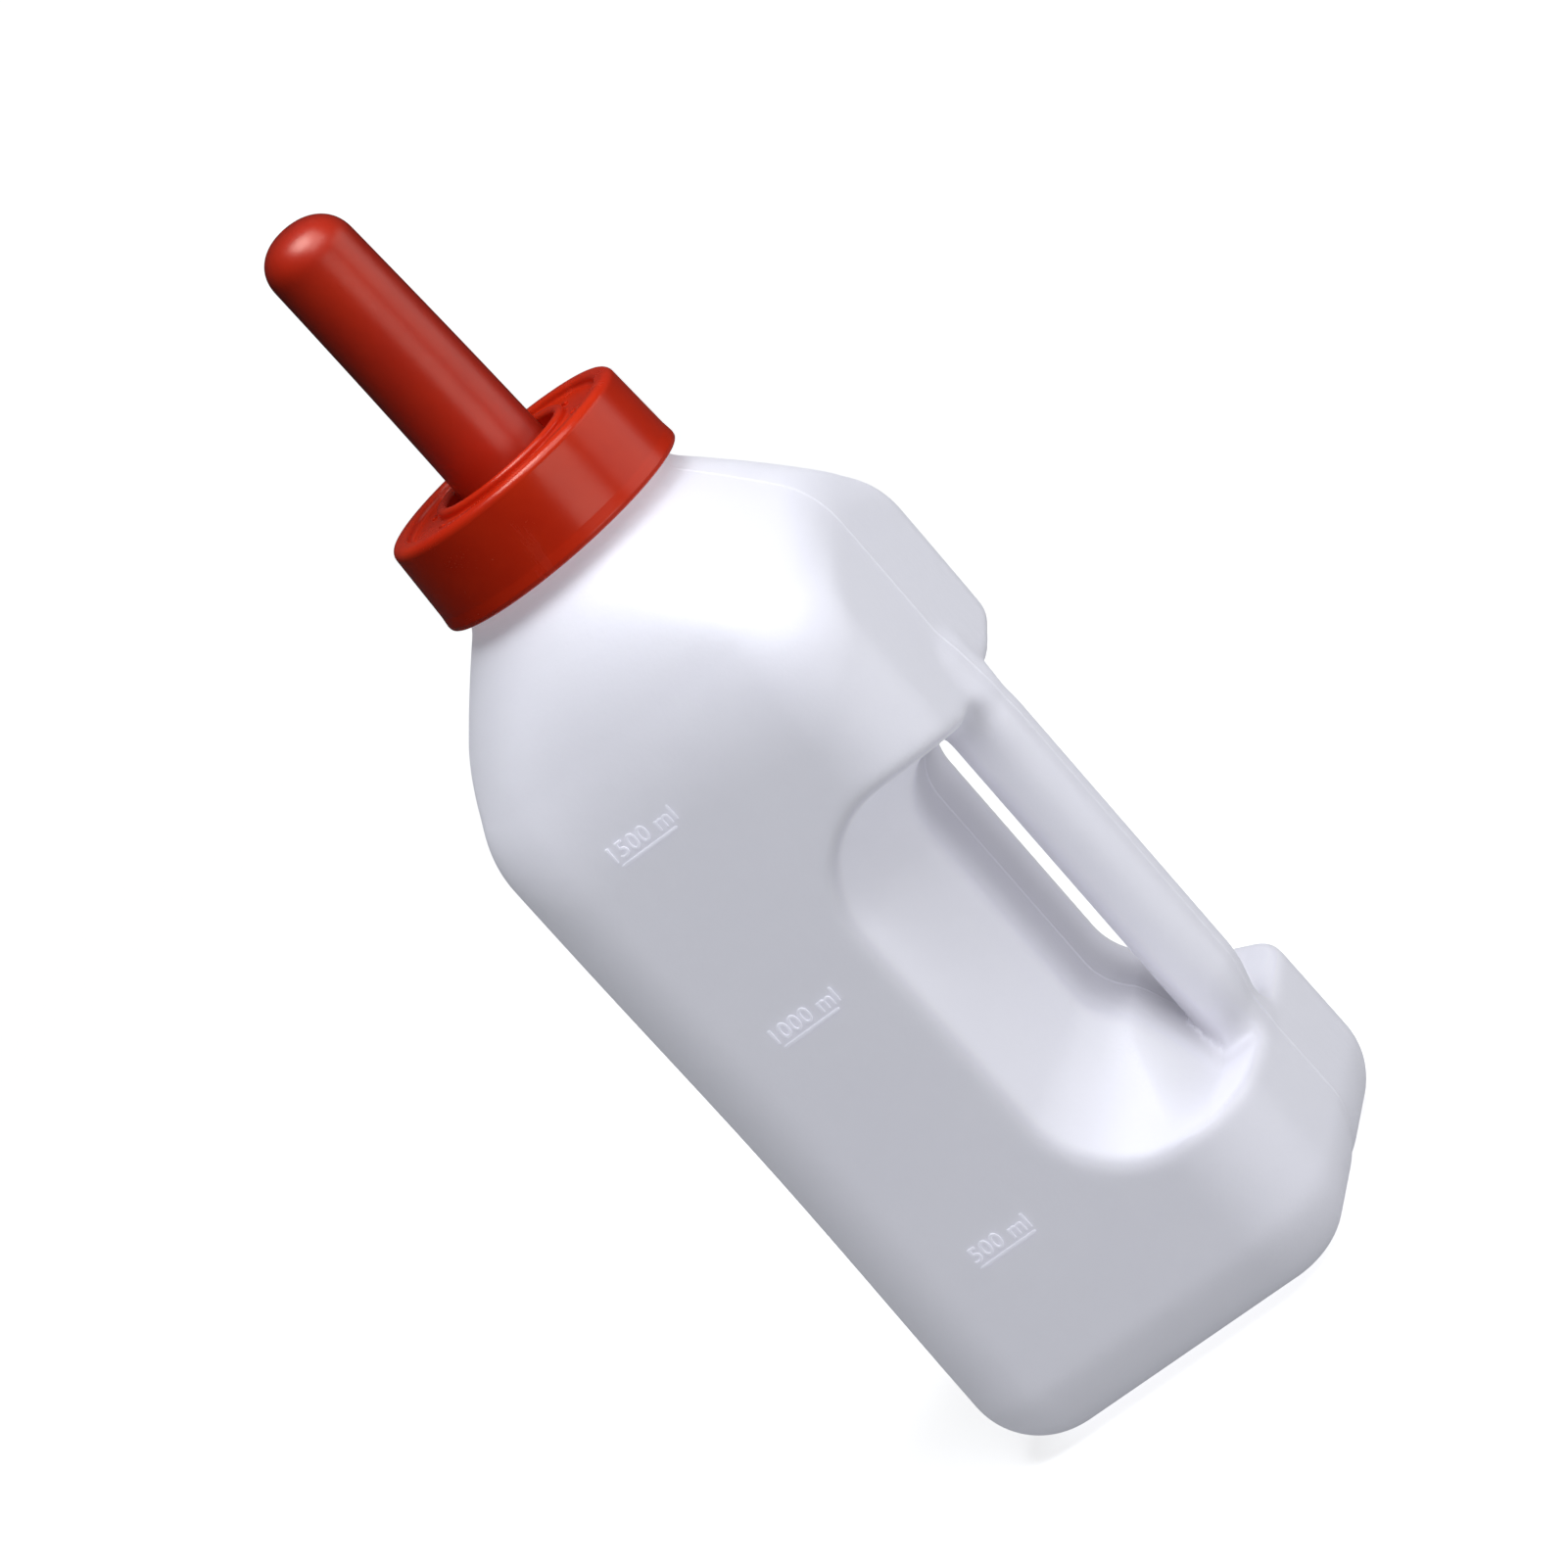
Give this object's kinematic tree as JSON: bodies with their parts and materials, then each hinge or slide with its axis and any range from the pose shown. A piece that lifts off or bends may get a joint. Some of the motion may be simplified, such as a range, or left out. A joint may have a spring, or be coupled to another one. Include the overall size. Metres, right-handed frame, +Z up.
{
  "type": "calf feeding bottle",
  "caption": "Square-section translucent bottle with a moulded-in hand grip, level marks, a screw collar and a long rubber teat fed through a ball valve.",
  "frame": {"origin": "on the bottle's neck axis, at the plane that the base stands on", "axes": "+Z up along the neck axis to the teat, +X towards the handle, the level marks on the -Y face"},
  "size_m": [0.1101, 0.1083, 0.3359],
  "materials": {
    "bottle_plastic": "natural translucent polyethylene, satin",
    "collar_plastic": "moulded red plastic, half gloss",
    "teat_rubber": "red rubber, satin",
    "valve_plastic": "white moulded plastic",
    "ball_plastic": "white polished plastic ball",
    "seal_rubber": "soft pale silicone rubber"
  },
  "bodies": {
    "bottle": {"bottle_body": "bottle_plastic", "seal_ring": "seal_rubber"},
    "cap_stack": {"valve_plate": "valve_plastic", "ball_cage": "valve_plastic", "teat": "teat_rubber"},
    "collar": {"screw_collar": "collar_plastic"},
    "ball": {"valve_ball": "ball_plastic"},
    "vent": {"vent_valve": "seal_rubber"}
  },
  "joints": [
    {"name": "collar_turn", "type": "hinge", "parent": "cap_stack", "child": "collar", "pos_m": [0, 0, 0.25], "axis": [0, 0, 1], "range_deg": [0, 540]},
    {"name": "cap_lift", "type": "slide", "parent": "bottle", "child": "cap_stack", "axis": [0, 0, 1], "range_m": [0, 0.00751]},
    {"name": "ball_lift", "type": "slide", "parent": "cap_stack", "child": "ball", "axis": [0, 0, 1], "range_m": [0, 0.003]},
    {"name": "vent_open", "type": "slide", "parent": "cap_stack", "child": "vent", "axis": [0, 0, -1], "range_m": [0, 0.0008], "stiffness_N_per_m": 20}
  ],
  "couplings": [
    {"joint": "cap_lift", "follows": "collar_turn", "m_per_rad": 0.00079577}
  ]
}
